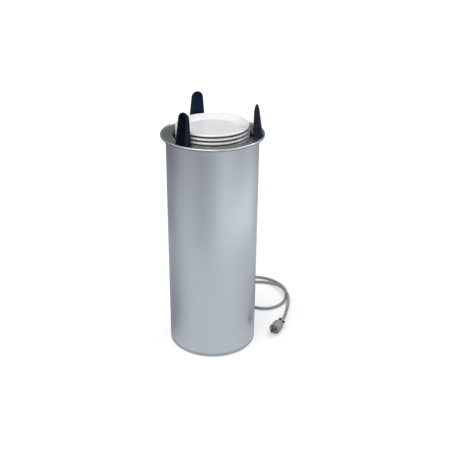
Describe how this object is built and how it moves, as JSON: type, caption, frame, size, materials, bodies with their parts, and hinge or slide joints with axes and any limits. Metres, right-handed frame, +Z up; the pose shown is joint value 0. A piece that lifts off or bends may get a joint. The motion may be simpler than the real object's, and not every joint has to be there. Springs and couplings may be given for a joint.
{
  "type": "heated plate dispenser",
  "caption": "Drop-in self-levelling heated plate dispenser: a flanged round casing with plate guides, a sprung carrier that holds a plate stack, a ring heater and a mains lead.",
  "frame": {"origin": "centre of the casing's foot, on the floor it stands on", "axes": "+Z up along the casing; the mains lead leaves the casing towards +Y; -Y faces the side seen in the picture"},
  "size_m": [0.4147, 0.5086, 0.7619],
  "materials": {
    "ring_steel": "brushed",
    "shell_steel": "satin",
    "pan_steel": "satin",
    "zinc_steel": "satin",
    "spring_steel": "satin",
    "fastener_steel": "bright",
    "element_sheath": "matte",
    "baffle_aluminium": "satin",
    "guide_plastic": "gloss",
    "plate_glaze": "gloss",
    "nylon": "matte",
    "bumper_rubber": "matte",
    "control_plastic": "matte",
    "copper_line": "satin",
    "block_plastic": "matte",
    "lead_sleeve": "matte",
    "gland_plastic": "matte",
    "cord_jacket": "matte",
    "plug_shell": "satin",
    "plug_insert": "satin",
    "blade_brass": "bright",
    "clamp_screw_black": "satin"
  },
  "bodies": {
    "housing": {"top_ring": "ring_steel", "outer_shell": "shell_steel", "base_pan": "pan_steel", "guide_right": "guide_plastic", "guide_back": "guide_plastic", "guide_front": "guide_plastic", "guide_screws": "fastener_steel", "base_screws": "fastener_steel", "spring_hangers": "zinc_steel", "rail_1": "zinc_steel", "rail_2": "zinc_steel", "rail_3": "zinc_steel", "springs_1": "spring_steel", "springs_2": "spring_steel", "springs_3": "spring_steel", "heating_element": "element_sheath", "element_clips": "zinc_steel", "heat_baffle": "baffle_aluminium", "baffle_posts": "zinc_steel", "stop_bumpers": "bumper_rubber", "thermostat": "control_plastic", "thermostat_nut": "fastener_steel", "sensing_bulb": "copper_line", "terminal_block": "block_plastic", "inner_leads": "lead_sleeve", "strain_relief": "gland_plastic", "gland_nut": "gland_plastic", "cord_tail": "cord_jacket", "cord": "cord_jacket", "plug_cord": "cord_jacket", "plug_body": "plug_shell", "plug_face": "plug_insert", "plug_blades": "blade_brass", "plug_clamp": "plug_shell", "plug_clamp_screws": "clamp_screw_black"},
    "carrier": {"carrier_platform": "zinc_steel", "carrier_upright_1": "zinc_steel", "carrier_upright_2": "zinc_steel", "carrier_upright_3": "zinc_steel", "carrier_crossbars": "zinc_steel", "carrier_spider": "zinc_steel", "glide_shoes": "nylon", "carrier_screws": "fastener_steel", "plate_stack": "plate_glaze"},
    "plate_3": {"plate_3": "plate_glaze"},
    "plate_2": {"plate_2": "plate_glaze"},
    "plate_1": {"plate_1": "plate_glaze"},
    "spindle": {"thermostat_spindle": "fastener_steel"}
  },
  "joints": [
    {"name": "carrier_slide", "type": "slide", "parent": "housing", "child": "carrier", "axis": [0, 0, 1], "range_m": [-0.295, 0.09], "stiffness_N_per_m": 467.4, "springref_m": 0.16239, "deforming": ["springs_1", "springs_2", "springs_3"]},
    {"name": "plate_3_lift", "type": "slide", "parent": "carrier", "child": "plate_3", "axis": [0, 0, 1], "range_m": [0, 0.12]},
    {"name": "plate_2_lift", "type": "slide", "parent": "plate_3", "child": "plate_2", "axis": [0, 0, 1], "range_m": [0, 0.12]},
    {"name": "plate_1_lift", "type": "slide", "parent": "plate_2", "child": "plate_1", "axis": [0, 0, 1], "range_m": [0, 0.12]},
    {"name": "thermostat_turn", "type": "hinge", "parent": "housing", "child": "spindle", "pos_m": [0, -0.04, 0.01], "axis": [0, 0, 1], "range_deg": [0, 270]}
  ]
}
